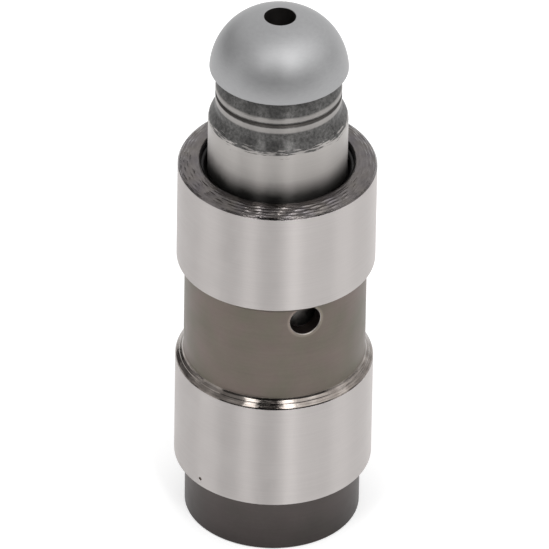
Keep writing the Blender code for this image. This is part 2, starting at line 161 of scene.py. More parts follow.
def makePiece(name, points, faceSets):
    # points in mm, and arrays of faces that each have one number of corners
    mesh = bpy.data.meshes.new(name)
    corners = np.concatenate([faces.ravel() for faces in faceSets]).astype(np.int32)
    sizes = np.concatenate([np.full(len(faces), faces.shape[1]) for faces in faceSets])
    starts = np.concatenate([[0], np.cumsum(sizes)[:-1]]).astype(np.int32)
    mesh.vertices.add(len(points))
    mesh.vertices.foreach_set("co", (points * mm).astype(np.float32).ravel())
    mesh.loops.add(len(corners))
    mesh.loops.foreach_set("vertex_index", corners)
    mesh.polygons.add(len(sizes))
    mesh.polygons.foreach_set("loop_start", starts)
    mesh.update(calc_edges=True)
    mesh.validate()
    piece = bpy.data.objects.new(name, mesh)
    bpy.context.scene.collection.objects.link(piece)
    return piece


def turned(name, outline, across=columns):
    # x = r cos a, y = r sin a for each outline point. The outline runs with the metal on its left.
    # An outline that starts and ends on the axis is closed there by one point at each pole.
    angle = 2 * np.pi * np.arange(across) / across
    solid = outline[0, 0] == 0 and outline[-1, 0] == 0
    rings = outline[1:-1] if solid else outline
    r, z = rings[:, :1], rings[:, 1:]
    points = np.stack([r * np.cos(angle), r * np.sin(angle), z + 0 * angle], axis=-1).reshape(-1, 3)
    faceSets = [gridFaces(len(rings), across, not solid)]
    if solid:
        poles = np.array([[0, 0, outline[0, 1]], [0, 0, outline[-1, 1]]])
        points = np.concatenate([points, poles])
        faceSets += endFaces(len(rings), across)
    return makePiece(name, points, faceSets)


def bentWire(name, centres, wire, sides, low=-np.inf, high=np.inf):
    # A round wire along a curve about the axis: centre + wire/2 (cos s outward + sin s aside), where
    # outward points away from the axis and aside is square to it and to the curve. Points past low
    # or high are brought back to that level, which is how a spring's ground end is flat.
    along = np.gradient(centres, axis=0)
    along /= np.linalg.norm(along, axis=1, keepdims=True)
    outward = centres * [1, 1, 0]
    aside = np.cross(along, outward)
    aside /= np.linalg.norm(aside, axis=1, keepdims=True)
    outward = np.cross(aside, along)
    s = 2 * np.pi * np.arange(sides) / sides
    circle = np.cos(s)[None, :, None] * outward[:, None] + np.sin(s)[None, :, None] * aside[:, None]
    points = (centres[:, None] + wire / 2 * circle).reshape(-1, 3)
    points = np.concatenate([points, centres[[0, -1]]])
    points[:, 2] = np.clip(points[:, 2], low, high)
    rows = len(centres)
    return makePiece(name, points, [gridFaces(rows, sides, False)] + endFaces(rows, sides))


def cutAway(piece, *cutters):
    # takes the cutters out of the piece, keeps the result as its mesh and removes the cutters
    for cutter in cutters:
        change = piece.modifiers.new(cutter.name, "BOOLEAN")
        change.operation = "DIFFERENCE"
        change.solver = "EXACT"
        change.object = cutter
    bpy.context.view_layer.update()
    evaluated = piece.evaluated_get(bpy.context.evaluated_depsgraph_get())
    finished = bpy.data.meshes.new_from_object(evaluated)
    piece.modifiers.clear()
    piece.data = finished
    finished.name = piece.name
    for cutter in cutters:
        bpy.data.objects.remove(cutter)


def drill(name, radius, lip, z, turn, surface, depth):
    # A drill along a radius at an angle from -Y, with its mouth rounded over by lip. Its rings are
    # circles x = p cos t, z = p sin t set at a depth below the wall, whose distance from the axis at
    # that x and z is the root of surface(z)^2 - x^2. Its last ring flares out clear of the wall.
    flare, clear = 1.6 * lip, 0.3
    sweep = np.linspace(0, lipArc, lipRings)
    out = np.concatenate([[radius, radius], radius + lip * (1 - np.cos(sweep)), [radius + flare]])
    below = np.concatenate([[depth, depth / 2], lip * (1 - np.sin(sweep)), [-clear]])
    t = 2 * np.pi * np.arange(drillSteps) / drillSteps
    x, up = out[:, None] * np.cos(t), out[:, None] * np.sin(t)
    y = -(np.sqrt(surface(z + up) ** 2 - x ** 2) - below[:, None])
    points = np.stack([x, y, z + up], axis=-1).reshape(-1, 3)
    ends = np.array([[0, points[:drillSteps, 1].mean(), z], [0, points[-drillSteps:, 1].mean(), z]])
    faceSets = [gridFaces(len(out), drillSteps, False)] + endFaces(len(out), drillSteps)
    cutter = makePiece(name, np.concatenate([points, ends]), faceSets)
    cutter.data.transform(Matrix.Rotation(turn, 4, "Z"))
    return cutter


def finishPiece(piece, node, body, finishes, zones=None):
    # Hands the piece over. finishes are its materials by name. zones gives the faces of each name from
    # the middles (r, z) of all faces in mm, and the first zone that has a face keeps it.
    mesh = piece.data
    mesh.shade_smooth()
    mesh.set_sharp_from_angle(angle=math.radians(sharpAngle))
    mesh.materials.clear()
    for material in finishes.values():
        mesh.materials.append(material)
    if zones:
        middles = np.empty(len(mesh.polygons) * 3, np.float32)
        mesh.polygons.foreach_get("center", middles)
        middles = middles.reshape(-1, 3) / mm
        chosen = zones(np.hypot(middles[:, 0], middles[:, 1]), middles[:, 2])
        order = [list(finishes).index(name) for name in chosen]
        pick = np.select(list(chosen.values()), order)
        mesh.polygons.foreach_set("material_index", pick.astype(np.int32))
    mesh.update()
    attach(piece, body)
    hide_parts(node)
    print(node, len(mesh.polygons), "faces")


# Finishes

def objectPlace(tree):
    # object coordinates in mm, and the distance from the Z axis in mm
    place = addNode(tree, "ShaderNodeMapping", {"Scale": (1 / mm,) * 3},
                    {"Vector": (addNode(tree, "ShaderNodeTexCoord"), "Object")})
    flat = addNode(tree, "ShaderNodeVectorMath", {"operation": "MULTIPLY", 1: (1, 1, 0)},
                   {0: (place, "Vector")})
    return place, addNode(tree, "ShaderNodeVectorMath", {"operation": "LENGTH"}, {0: (flat, "Vector")})


def latheMarks(tree, place, radius, length, spacing):
    # Noise drawn out round the axis, as a tool or a wheel leaves it on any turned surface: marks of
    # this length round the work, and this spacing in height and in radius, both in mm.
    drawn = addNode(tree, "ShaderNodeVectorMath",
                    {"operation": "MULTIPLY", 1: (1 / length, 1 / length, 1 / spacing)},
                    {0: (place, "Vector")})
    depth = addNode(tree, "ShaderNodeMath", {"operation": "MULTIPLY", 1: 1 / spacing}, {0: (radius, "Value")})
    return addNode(tree, "ShaderNodeTexNoise",
                   {"noise_dimensions": "4D", "Scale": 1.0, "Detail": 3.0, "Roughness": 0.6},
                   {"Vector": (drawn, "Vector"), "W": (depth, 0)})


def spread(tree, noise, low, high):
    # most of a noise lies between 0.3 and 0.7: brought to run from low to high
    return addNode(tree, "ShaderNodeMapRange",
                   {"From Min": 0.3, "From Max": 0.7, "To Min": low, "To Max": high, "clamp": False},
                   {"Value": (noise, "Fac")})


def alongHeight(tree, height, stops):
    # a value for each height in mm, straight between the stops (z, value)
    low, high = stops[0][0], stops[-1][0]
    along = addNode(tree, "ShaderNodeMapRange", {"From Min": low, "From Max": high}, {"Value": (height, "Z")})
    ramp = addNode(tree, "ShaderNodeValToRGB", {}, {"Fac": (along, "Result")})
    for index, (z, value) in enumerate(stops):
        place = (z - low) / (high - low)
        spot = ramp.color_ramp.elements[index] if index < 2 else ramp.color_ramp.elements.new(place)
        spot.position, spot.color = place, (value, value, value, 1)
    return ramp


def hardenedSkin(tree, place, radius, height, skin, ground):
    # Above a ragged border the ground surface gives way to the blotched skin that hardening leaves.
    # ground is the colour, roughness and relief of the ground surface, each as (node, output), and the
    # same three come back.
    colour, rough, relief = ground
    marks = latheMarks(tree, place, radius, skin["raggedLength"], skin["raggedSpacing"])
    ragged = spread(tree, marks, -skin["ragged"], skin["ragged"])
    edge = addNode(tree, "ShaderNodeMath", {"operation": "ADD"}, {0: (height, "Z"), 1: (ragged, "Result")})
    above = addNode(tree, "ShaderNodeMapRange",
                    {"interpolation_type": "SMOOTHSTEP", "From Min": skin["border"] - skin["soft"],
                     "From Max": skin["border"] + skin["soft"]},
                    {"Value": (edge, 0)})
    cover = alongHeight(tree, height, skin["cover"])
    covered = addNode(tree, "ShaderNodeMath", {"operation": "MULTIPLY"},
                      {0: (above, "Result"), 1: (cover, "Color")})
    blotch = addNode(tree, "ShaderNodeTexNoise",
                     {"Scale": 1 / skin["blotch"], "Detail": 5.0, "Roughness": 0.66},
                     {"Vector": (place, "Vector")})
    tone = spread(tree, blotch, 1 - skin["blotchTone"], 1 + skin["blotchTone"])
    dark = addNode(tree, "ShaderNodeVectorMath", {"operation": "SCALE", 0: linear(skin["colour"])[:3]},
                   {"Scale": (tone, "Result")})
    both = addNode(tree, "ShaderNodeMix", {"data_type": "RGBA"},
                   {0: (covered, 0), 6: colour, 7: (dark, "Vector")})
    dull = addNode(tree, "ShaderNodeMix", {"data_type": "FLOAT", 3: skin["roughness"]},
                   {0: (covered, 0), 2: rough})
    uneven = addNode(tree, "ShaderNodeMix", {"data_type": "FLOAT"},
                     {0: (covered, 0), 2: relief, 3: (blotch, "Fac")})
    return (both, 2), (dull, 0), (uneven, 0)


def turnedSteel(name, look):
    # Steel that was turned or ground round the Z axis. The marks run round the work, so a reflection
    # is drawn out across them: lamps show as upright bands on the sides and as spokes on a flat face.
    material, tree, shader = newMaterial(name)
    place, radius = objectPlace(tree)
    height = addNode(tree, "ShaderNodeSeparateXYZ", {}, {0: (place, "Vector")})
    marks = latheMarks(tree, place, radius, look["markLength"], look["markSpacing"])
    cloud = addNode(tree, "ShaderNodeTexNoise", {"Scale": 1 / look["cloud"], "Detail": 4.0, "Roughness": 0.6},
                    {"Vector": (place, "Vector")})
    markTone = spread(tree, marks, 1 - look["markTone"], 1 + look["markTone"])
    cloudTone = spread(tree, cloud, 1 - look["cloudTone"], 1 + look["cloudTone"])
    tone = addNode(tree, "ShaderNodeMath", {"operation": "MULTIPLY"},
                   {0: (markTone, "Result"), 1: (cloudTone, "Result")})
    if "paintedShade" in look:
        # painted shade: the tone goes from one value at a low place to another at a high one
        low, high, lowTone, highTone = look["paintedShade"]
        paintedShade = addNode(tree, "ShaderNodeMapRange",
                       {"From Min": low, "From Max": high, "To Min": lowTone, "To Max": highTone},
                       {"Value": (height, "Z")})
        tone = addNode(tree, "ShaderNodeMath", {"operation": "MULTIPLY"}, {0: (tone, 0), 1: (paintedShade, "Result")})
    if "rimHighlight" in look:
        # painted highlight: brighter by this gain at the rim of a hole, and less so over a width round it
        rimHighlight = look["rimHighlight"]
        away = addNode(tree, "ShaderNodeVectorMath", {"operation": "DISTANCE", 1: rimHighlight["middle"]},
                       {0: (place, "Vector")})
        gain = addNode(tree, "ShaderNodeMapRange",
                       {"From Min": rimHighlight["radius"], "From Max": rimHighlight["radius"] + rimHighlight["width"],
                        "To Min": rimHighlight["gain"], "To Max": 1.0},
                       {"Value": (away, "Value")})
        tone = addNode(tree, "ShaderNodeMath", {"operation": "MULTIPLY"}, {0: (tone, 0), 1: (gain, "Result")})
    # the colour wanders to its tint and back, over patches twice the size of the clouds
    patches = addNode(tree, "ShaderNodeTexNoise", {"Scale": 0.5 / look["cloud"], "Detail": 2.0},
                      {"Vector": (place, "Vector")})
    tint = look.get("tint", look["colour"])
    hue = addNode(tree, "ShaderNodeMix", {"data_type": "RGBA", 6: linear(look["colour"]), 7: linear(tint)},
                  {0: (spread(tree, patches, 0, 1), "Result")})
    toned = addNode(tree, "ShaderNodeVectorMath", {"operation": "SCALE"}, {0: (hue, 2), "Scale": (tone, 0)})
    uneven = spread(tree, cloud, look["roughness"] - 0.03, look["roughness"] + 0.03)
    surface = (toned, "Vector"), (uneven, "Result"), (marks, "Fac")
    if "skin" in look:
        surface = hardenedSkin(tree, place, radius, height, look["skin"], surface)
    colour, rough, relief = surface
    bump = addNode(tree, "ShaderNodeBump", {"Strength": look["relief"], "Distance": look["reliefDepth"] * mm},
                   {"Height": relief})
    tangent = addNode(tree, "ShaderNodeTangent", {"direction_type": "RADIAL", "axis": "Z"})
    joinSockets(tree, shader, {"Base Color": colour, "Roughness": rough, "Normal": (bump, "Normal"),
                               "Tangent": (tangent, "Tangent")})
    shader.inputs["Metallic"].default_value = 1.0
    shader.inputs["Anisotropic"].default_value = look["anisotropy"]
    shader.inputs["Anisotropic Rotation"].default_value = 0.25  # a quarter turn: across the marks
    return material


def plainMetal(name, hexColour, roughness, spacing, stretch, relief):
    # A metal of one colour with fine marks: their spacing in mm, stretched along the axes by stretch.
    # They change its tone and its roughness by a few hundredths.
    material, tree, shader = newMaterial(name)
    place, _ = objectPlace(tree)
    drawn = addNode(tree, "ShaderNodeVectorMath", {"operation": "MULTIPLY", 1: stretch},
                    {0: (place, "Vector")})
    marks = addNode(tree, "ShaderNodeTexNoise", {"Scale": 1 / spacing, "Detail": 4.0, "Roughness": 0.6},
                    {"Vector": (drawn, "Vector")})
    colour = addNode(tree, "ShaderNodeVectorMath", {"operation": "SCALE", 0: linear(hexColour)[:3]},
                     {"Scale": (spread(tree, marks, 0.94, 1.04), "Result")})
    rough = spread(tree, marks, roughness * 0.94, roughness * 1.06)
    bump = addNode(tree, "ShaderNodeBump", {"Strength": relief, "Distance": 0.02 * mm},
                   {"Height": (marks, "Fac")})
    joinSockets(tree, shader, {"Base Color": (colour, "Vector"), "Roughness": (rough, "Result"),
                               "Normal": (bump, "Normal")})
    shader.inputs["Metallic"].default_value = 1.0
    return material


# Centreless-ground bearing steel: bright, its wheel marks some 10 microns apart, drawn coarser here
groundLook = {
    "colour": "#C3BEBC", "roughness": 0.42, "anisotropy": 0.98, "markLength": 4.0, "markSpacing": 0.09,
    "markTone": 0.03, "cloud": 1.6, "cloudTone": 0.025, "relief": 0.05, "reliefDepth": 0.02,
}
# Turned, then hardened and left: a thin brown-grey oxide over the turning marks
oxideLook = {
    "colour": "#766B66", "tint": "#6B675D", "roughness": 0.46, "anisotropy": 0.55, "markLength": 3.0,
    "markSpacing": 0.12, "markTone": 0.03, "cloud": 0.9, "cloudTone": 0.08, "relief": 0.10,
    "reliefDepth": 0.02,
}


# Housing

_, housingTop = frameBox("housing")
ringLow, ringHigh = frameBox("retaining_ring")
cup = {
    "land": housingTop[0], "top": housingTop[2], "edge": 0.05, "fine": 0.03,
    "foot": 5.32, "footTop": 3.33, "footEdge": 0.12,
    "lowerLandBottom": 3.81, "lowerLandTop": 10.86, "upperLandBottom": 18.24, "upperLandEdge": 0.08,
    "groove": 5.50, "grooveBottom": 11.53, "grooveTop": 17.80, "grooveCorner": 0.15,
    "bore": 4.60, "boreEdge": 0.04, "floor": 2.60, "floorFillet": 0.40,
    "ringGroove": 4.90, "ringZ": (ringLow[2] + ringHigh[2]) / 2, "ringHalf": 0.33,
    "mouth": 4.74, "mouthChamfer": 0.15, "mouthRounding": 0.26,
    # the crown falls away from its inner edge as this power of the distance, in this many rings, the
    # outermost of which lies crownInset inside its outer edge
    "crown": 5.05, "crownEdge": 5.90, "crownDrop": 0.25, "crownPower": 1.5, "crownRings": 52,
    "crownInset": 0.02, "topEdge": 0.40, "topCorner": 0.06,
    # rings up the groove's wall, which the oil hole is cut through: how far over the wall's bottom and
    # under its top they lie, and how many
    "wallOver": 1.0, "wallUnder": 0.3, "wallRings": 24,
    # the shoulder over the lower land: radius, height over the land and fillet of each corner, from the
    # groove down: a small step, a slope with a tool line across it, a cove and the land's edge
    "shoulder": ((5.545, 0.56, 0.03), (5.60, 0.46, 0.03), (5.735, 0.328, 0.01), (5.755, 0.285, 0.01),
                 (5.89, 0.15, 0.06), (5.95, 0.09, 0.05)),
    "oilHole": 0.95, "oilHoleZ": 16.93, "oilHoleLip": 0.12, "oilHoleDepth": 2.0,
    "pit": 0.24, "pitZ": 4.32, "pitTurn": -66.4,  # degrees from -Y
}


def housingOutline():
    # the cup's section from the middle of the foot, up its outside, and down the bore to the floor
    c = cup
    r = np.linspace(c["crownEdge"] - c["crownInset"], c["crown"], c["crownRings"])
    fall = c["crownDrop"] * ((r - c["crown"]) / (c["crownEdge"] - c["crown"])) ** c["crownPower"]
    crown = list(zip(r, c["top"] - fall, 0 * r))
    wall = np.linspace(c["grooveBottom"] + c["wallOver"], c["grooveTop"] - c["wallUnder"], c["wallRings"])
    ringTop, ringBottom = c["ringZ"] + c["ringHalf"], c["ringZ"] - c["ringHalf"]
    return roundedOutline([
        (0, 0, 0), (c["foot"], 0, c["footEdge"]), (c["foot"], c["footTop"], c["footEdge"]),
        (c["land"], c["lowerLandBottom"], c["edge"]), (c["land"], c["lowerLandTop"], c["edge"]),
        *[(r, c["lowerLandTop"] + rise, fillet) for r, rise, fillet in reversed(c["shoulder"])],
        (c["groove"], c["grooveBottom"], c["fine"]), *[(c["groove"], z, 0) for z in wall],
        (c["groove"], c["grooveTop"], c["grooveCorner"]),
        (c["land"], c["upperLandBottom"], c["upperLandEdge"]),
        (c["land"], c["top"] - c["topEdge"], c["topCorner"]),
        (c["crownEdge"], c["top"] - c["crownDrop"], c["edge"]), *crown,
        (c["mouth"], c["top"], c["mouthRounding"]), (c["bore"], c["top"] - c["mouthChamfer"], c["boreEdge"]),
        (c["bore"], ringTop, c["fine"]), (c["ringGroove"], ringTop, c["fine"]),
        (c["ringGroove"], ringBottom, c["fine"]), (c["bore"], ringBottom, c["fine"]),
        (c["bore"], c["floor"], c["floorFillet"]), (0, c["floor"], 0),
    ])


def housingFinishes():
    c = cup
    # painted highlight: the oxide is painted brighter round the rim of the oil hole
    rim = {"middle": (0, -c["groove"], c["oilHoleZ"]), "radius": c["oilHole"] + c["oilHoleLip"],
           "width": 0.12, "gain": 1.5}
    return {
        "lands": turnedSteel("centreless-ground steel lands", groundLook),
        "groove": turnedSteel("as-hardened steel groove", dict(oxideLook, rimHighlight=rim)),
        # the foot is a darker oxide, and painted shade makes it darker towards its lower end, by the floor,
        # and lighter at its top
        "foot": turnedSteel("as-hardened steel foot", dict(
            oxideLook, colour="#524C4B", tint="#4C4846", paintedShade=(0, 3.3, 0.72, 1.20))),
        # the top face is turned with a coarse feed, and catches the lamps as streaks
        "topFace": turnedSteel("as-hardened steel, rough turned", dict(
            oxideLook, colour="#6F6A67", tint="#646062", roughness=0.15, anisotropy=0.50, markLength=0.7,
            markSpacing=0.12, markTone=0.18, cloud=0.5, cloudTone=0.12, relief=0.8, reliefDepth=0.05)),
        # honing takes the bore to size: as even as the lands, and darker with oil
        "bore": turnedSteel("honed steel bore", dict(groundLook, colour="#8E8B88")),
        # the shoulder is cut clean after hardening, so it mirrors the lamps between nicks and tool marks
        "shoulder": turnedSteel("hard-turned steel shoulder", dict(
            oxideLook, colour="#938C87", tint="#6E6762", roughness=0.10, anisotropy=0.88, markLength=1.1,
            markSpacing=0.10, markTone=0.35, cloud=0.4, cloudTone=0.30, relief=0.6)),
        # the drilled hole's wall is darker than the groove, and its lip is painted light as a highlight
        "hole": turnedSteel("dark oil hole wall", dict(
            oxideLook, colour="#3C3634", tint="#332C29", roughness=0.5)),
        "lip": plainMetal("oil hole lip painted light as a highlight", "#A8A29C", 0.42, 0.12, (1, 1, 1), 0.25),
        # painted shade: the mouth, from its edge down past the ring, is painted black
        "mouth": turnedSteel("mouth painted black as shade", dict(
            oxideLook, colour="#2C2A29", tint="#232120", roughness=0.42)),
    }


def housingZones(r, z):
    # which faces of the housing have which finish. The bore's takes in its floor but not the foot
    # below, the oil reaches down past the ring, and the bright lip reaches a little into the hole.
    c = cup
    floorReach, oilReach, lipReach = 0.5, 0.1, 0.09
    ringCut = (r < c["ringGroove"] + near) & (z > c["grooveTop"]) & (z < c["top"] - c["edge"])
    bored = (r < c["bore"] + near) | ringCut
    drilled = (r < c["groove"] - 2 * near) & (z > c["grooveBottom"]) & (z < c["grooveTop"])
    return {
        "mouth": bored & (z > c["ringZ"] - c["ringHalf"] - oilReach),
        "bore": bored & (z > c["floor"] - floorReach),
        "lip": drilled & (r > c["groove"] - lipReach),
        "hole": drilled,
        "lands": r > c["land"] - skim,
        "foot": z < c["lowerLandBottom"] + near,
        "shoulder": (z > c["lowerLandTop"] + c["fine"]) & (z < c["grooveBottom"] - 2 * c["fine"]),
        "topFace": z > c["top"] - c["topEdge"] + 2 * near,
        "groove": r > 0,  # the rest
    }


def buildHousing():
    c = cup
    housing = turned("housing_body", housingOutline())
    cutFeedMarks(housing)
    print("housing turned")

    def wallAt(z):
        # the radius of the groove's wall, and of the cone that leads from it to the upper land
        return np.interp(z, (c["grooveTop"], c["upperLandBottom"]), (c["groove"], c["land"]))

    oilDrill = drill("oil_drill", c["oilHole"], c["oilHoleLip"], c["oilHoleZ"], 0.0, wallAt,
                     c["oilHoleDepth"])
    pit = pitCutter("pit_cutter", c["pit"], c["land"], c["pitZ"], math.radians(c["pitTurn"]))
    cutAway(housing, oilDrill, pit)
    finishPiece(housing, "housing", "housing", housingFinishes(), housingZones)


# The marks that the facing tool left on the crown
feedMarks = {
    "pitch": 0.20, "depth": 0.055, "rising": 0.6,  # each rises over this share of the pitch
    "wander": 0.40, "wanderTurn": 0.6,  # the tool ran off centre: by this many pitches, towards this angle
    "dashes": 23, "moreDashes": 7, "shift": 1.7,  # dashes round one mark, more round the next two, offset
    "margin": 0.03, "inwardFade": 0.12, "outwardFade": 0.08,  # how the marks end short of the crown's edges
}


def cutFeedMarks(housing):
    # Saw teeth round the crown, rising outwards. A tooth's height is depth (1 + sin(n a + shift k)) / 2
    # for its number k, with n = dashes + moreDashes (k mod 3), so each mark breaks into dashes.
    c, f = cup, feedMarks
    points = np.empty(len(housing.data.vertices) * 3, np.float32)
    housing.data.vertices.foreach_get("co", points)
    points = points.reshape(-1, 3) / mm
    r, a = np.hypot(points[:, 0], points[:, 1]), np.arctan2(points[:, 1], points[:, 0])
    turns = (r - c["crown"]) / f["pitch"] + f["wander"] * np.sin(a + f["wanderTurn"])
    k = np.floor(turns)
    t = turns - k
    tooth = np.where(t < f["rising"], t / f["rising"], (1 - t) / (1 - f["rising"]))
    strength = (1 + np.sin((f["dashes"] + f["moreDashes"] * (k % 3)) * a + f["shift"] * k)) / 2
    inner = np.clip((r - c["crown"] - f["margin"]) / f["inwardFade"], 0, 1)
    outer = np.clip((c["crownEdge"] - f["margin"] - r) / f["outwardFade"], 0, 1)
    onCrown = points[:, 2] > c["top"] - c["crownDrop"] - near
    points[:, 2] += onCrown * f["depth"] * tooth * strength * (inner * outer)
    housing.data.vertices.foreach_set("co", (points * mm).astype(np.float32).ravel())
    housing.data.update()


def pitCutter(name, size, surface, z, turn):
    # a small ball set half into the surface, at an angle from -Y
    rings, across = 13, 20
    ball = turned(name, ballOutline(size / 2, 0, rings), across)
    ball.data.transform(Matrix.Rotation(turn, 4, "Z") @ Matrix.Translation((0, -surface * mm, z * mm)))
    return ball


# Ball plunger

plungerLow, plungerHigh = frameBox("ball_plunger")
ballPlunger = {
    "bottom": plungerLow[2], "guide": plungerHigh[0], "top": plungerHigh[2], "edge": 0.05, "fine": 0.03,
    "skirt": 10.23, "skirtEdge": 0.15, "stem": 4.21, "stemLength": 3.96, "stemRounding": 0.90,
    "shoulder": 0.70, "neck": 3.80, "neckFillet": 0.50,
    "vRise": 1.05, "vWidth": 0.26, "vDepth": 0.12, "vEdge": 0.08,  # the groove round the neck
    "bead": 0.42, "beadEdge": 0.10, "coveTop": 3.46, "coveHeight": 0.30, "coveFillet": 0.25,
    "head": 4.19, "headEdge": 0.29, "headHole": 0.95, "headHoleEdge": 0.05, "headRings": 40,
    "headFlatter": 0.20,  # how much lower than a true ball the crown of the head is, over its oil hole
    "headSkin": 3.90,  # the head's own face is farther from the ball's centre than this, its hollow nearer
    "relief": 4.15, "reliefLow": 15.66, "reliefHigh": 21.14, "reliefFillet": 0.10,
    "wallOver": 0.6, "wallUnder": 0.3, "wallRings": 20,  # rings up the relief's wall, as on the housing
    "reservoir": 2.90, "reservoirDepth": 16.40, "drillPoint": 118,  # degrees across the drill's point
    "feedHole": 0.75, "feedHoleZ": 19.74, "feedHoleLip": 0.04, "feedHoleDepth": 2.0,
}


def plungerHeights(p):
    # the heights that follow from these sizes; every cone of the skirt is at 45 degrees
    skirtTop = p["bottom"] + p["skirt"]
    stemLow = skirtTop + p["guide"] - p["stem"]
    stemTop = stemLow + p["stemLength"]
    neckLow = stemTop + p["shoulder"]
    centre = p["top"] - math.sqrt(p["head"] ** 2 - p["headHole"] ** 2)
    return {"skirtTop": skirtTop, "stemLow": stemLow, "stemTop": stemTop, "neckLow": neckLow,
            "vZ": neckLow + p["vRise"], "centre": centre, "headLow": centre + p["headEdge"],
            "slope": p["guide"] - p["relief"]}


ballPlunger.update(plungerHeights(ballPlunger))


def plungerOutline():
    # the plunger's section from its lower end, up its outside, over the head and down the reservoir
    p = ballPlunger
    reservoirTop = p["bottom"] + p["reservoirDepth"]
    pointHeight = (p["reservoir"] - p["headHole"]) / math.tan(math.radians(p["drillPoint"] / 2))
    # the head is a ball, R (cos a, sin a), lowered by headFlatter times the 4th power of sin a
    low, high = math.asin(p["headEdge"] / p["head"]), math.acos(p["headHole"] / p["head"])
    angle = np.linspace(low, high, p["headRings"])
    rise = p["head"] * np.sin(angle) - p["headFlatter"] * np.sin(angle) ** 4
    ball = np.stack([p["head"] * np.cos(angle), p["centre"] + rise, 0 * angle], axis=-1)
    ball[0, 2], ball[-1, 2] = p["edge"], p["headHoleEdge"]
    wall = np.linspace(p["reliefLow"] + p["wallOver"], p["reliefHigh"] - p["wallUnder"], p["wallRings"])
    return roundedOutline([
        (p["reservoir"], p["bottom"], p["fine"]), (p["guide"], p["bottom"], p["skirtEdge"]),
        (p["guide"], p["reliefLow"] - p["slope"], p["edge"]),
        (p["relief"], p["reliefLow"], p["reliefFillet"]), *[(p["relief"], z, 0) for z in wall],
        (p["relief"], p["reliefHigh"], p["reliefFillet"]),
        (p["guide"], p["reliefHigh"] + p["slope"], p["edge"]), (p["guide"], p["skirtTop"], p["edge"]),
        (p["stem"], p["stemLow"], p["edge"]), (p["stem"], p["stemTop"], p["stemRounding"]),
        (p["neck"], p["neckLow"], p["neckFillet"]), (p["neck"], p["vZ"] - p["vWidth"] / 2, p["vEdge"]),
        (p["neck"] - p["vDepth"], p["vZ"], p["fine"]), (p["neck"], p["vZ"] + p["vWidth"] / 2, p["vEdge"]),
        (p["neck"], p["vZ"] + p["bead"], p["beadEdge"]),
        (p["coveTop"], p["headLow"] - p["coveHeight"], p["coveFillet"]),
        (p["coveTop"], p["headLow"], p["edge"]), *ball,
        (p["headHole"], reservoirTop + pointHeight, p["edge"]), (p["reservoir"], reservoirTop, p["edge"]),
    ])


def plungerFinishes():
    p = ballPlunger
    vZ = p["vZ"]
    # the neck keeps the blotched dark skin of hardening, down to a border that wanders up and down by
    # ragged. Beside the groove round the neck it is thinned to two bright rings, which are painted
    # highlights, and in the groove it stays dark as painted shade: cover says how much of it is left at each
    # height.
    skin = {
        "colour": "#605F5E", "roughness": 0.38, "blotch": 0.20, "blotchTone": 0.50,
        "border": p["stemTop"] + 0.02, "soft": 0.04,
        "ragged": 0.42, "raggedLength": 1.1, "raggedSpacing": 0.11,
        "cover": ((p["stemTop"], 1), (vZ - 0.58, 1), (vZ - 0.48, 0.35), (vZ - 0.20, 0.25), (vZ - 0.15, 0.97),
                  (vZ + 0.17, 0.97), (vZ + 0.23, 0.35), (vZ + 0.46, 0.35), (vZ + 0.56, 1)),
    }
    return {
        # painted shade: the stem is painted darker where it stands in the mouth
        "stem": turnedSteel("ground steel stem under an as-hardened neck", dict(
            groundLook, colour="#ACA8A5", roughness=0.31, skin=skin,
            paintedShade=(p["stemLow"] + 0.5, p["stemLow"] + 2.0, 0.24, 1.0))),
        # no wheel or lap reaches the reservoir, so it stays dull and dark
        "inside": turnedSteel("as-hardened steel reservoir", dict(
            oxideLook, colour="#4A4745", tint="#4A4745")),
        # lapped bearing steel: an even satin, with the finest of marks round the axis
        "head": plainMetal("lapped steel ball head", "#A6A6A7", 0.50, 0.10, (0.3, 0.3, 1.0), 0.03),
        # the relief is left as it was hardened, lighter and in small blotches
        "relief": turnedSteel("as-hardened steel relief", dict(
            oxideLook, colour="#9C9896", tint="#868280", roughness=0.40, anisotropy=0.3, cloud=0.35,
            cloudTone=0.35, relief=0.3)),
    }


def plungerZones(r, z):
    # which faces of the plunger have which finish; the groove round the neck is painted as dark as the
    # inside, as painted shade
    p = ballPlunger
    outside = (r > p["headHole"] + near) & (np.hypot(r, z - p["centre"]) > p["headSkin"])
    hollow = ((r < p["reservoir"] + near) & (z < p["headLow"])) | (r < p["headHole"] + near)
    grooveShade = (np.abs(z - p["vZ"]) < p["vWidth"] / 2 + p["fine"]) & (r < p["neck"] - skim)
    alongRelief = (z > p["reliefLow"] - p["slope"]) & (z < p["reliefHigh"] + p["slope"])
    return {
        "head": (z > p["headLow"] + near) & outside,
        "inside": hollow | grooveShade,
        "relief": (r < p["guide"] - p["fine"]) & alongRelief,
        "stem": r > 0,  # the rest
    }


def buildBallPlunger():
    p = ballPlunger
    plunger = turned("ball_headed_plunger", plungerOutline())
    print("plunger turned")

    def wallAt(z):
        # the relief's radius, at every height
        return p["relief"] + 0 * z

    feedDrill = drill("feed_drill", p["feedHole"], p["feedHoleLip"], p["feedHoleZ"], math.pi / 2, wallAt,
                      p["feedHoleDepth"])
    cutAway(plunger, feedDrill)
    finishPiece(plunger, "ball_plunger", "ball_plunger", plungerFinishes(), plungerZones)


# Pressure plunger and check valve

pressureLow, pressureHigh = frameBox("pressure_plunger")
pressure = {
    "bottom": pressureLow[2], "top": pressureHigh[2], "guide": pressureHigh[0], "guideEdge": 0.15,
    "cup": 2.90, "cupFillet": 0.40, "recess": 3.73, "recessDepth": 0.65, "recessFillet": 0.06,
    "seatMouth": 1.30, "seatDepth": 0.60, "port": 0.70, "portLength": 1.50, "portEdge": 0.05,
    "seatEdge": 0.03, "edge": 0.04,
}


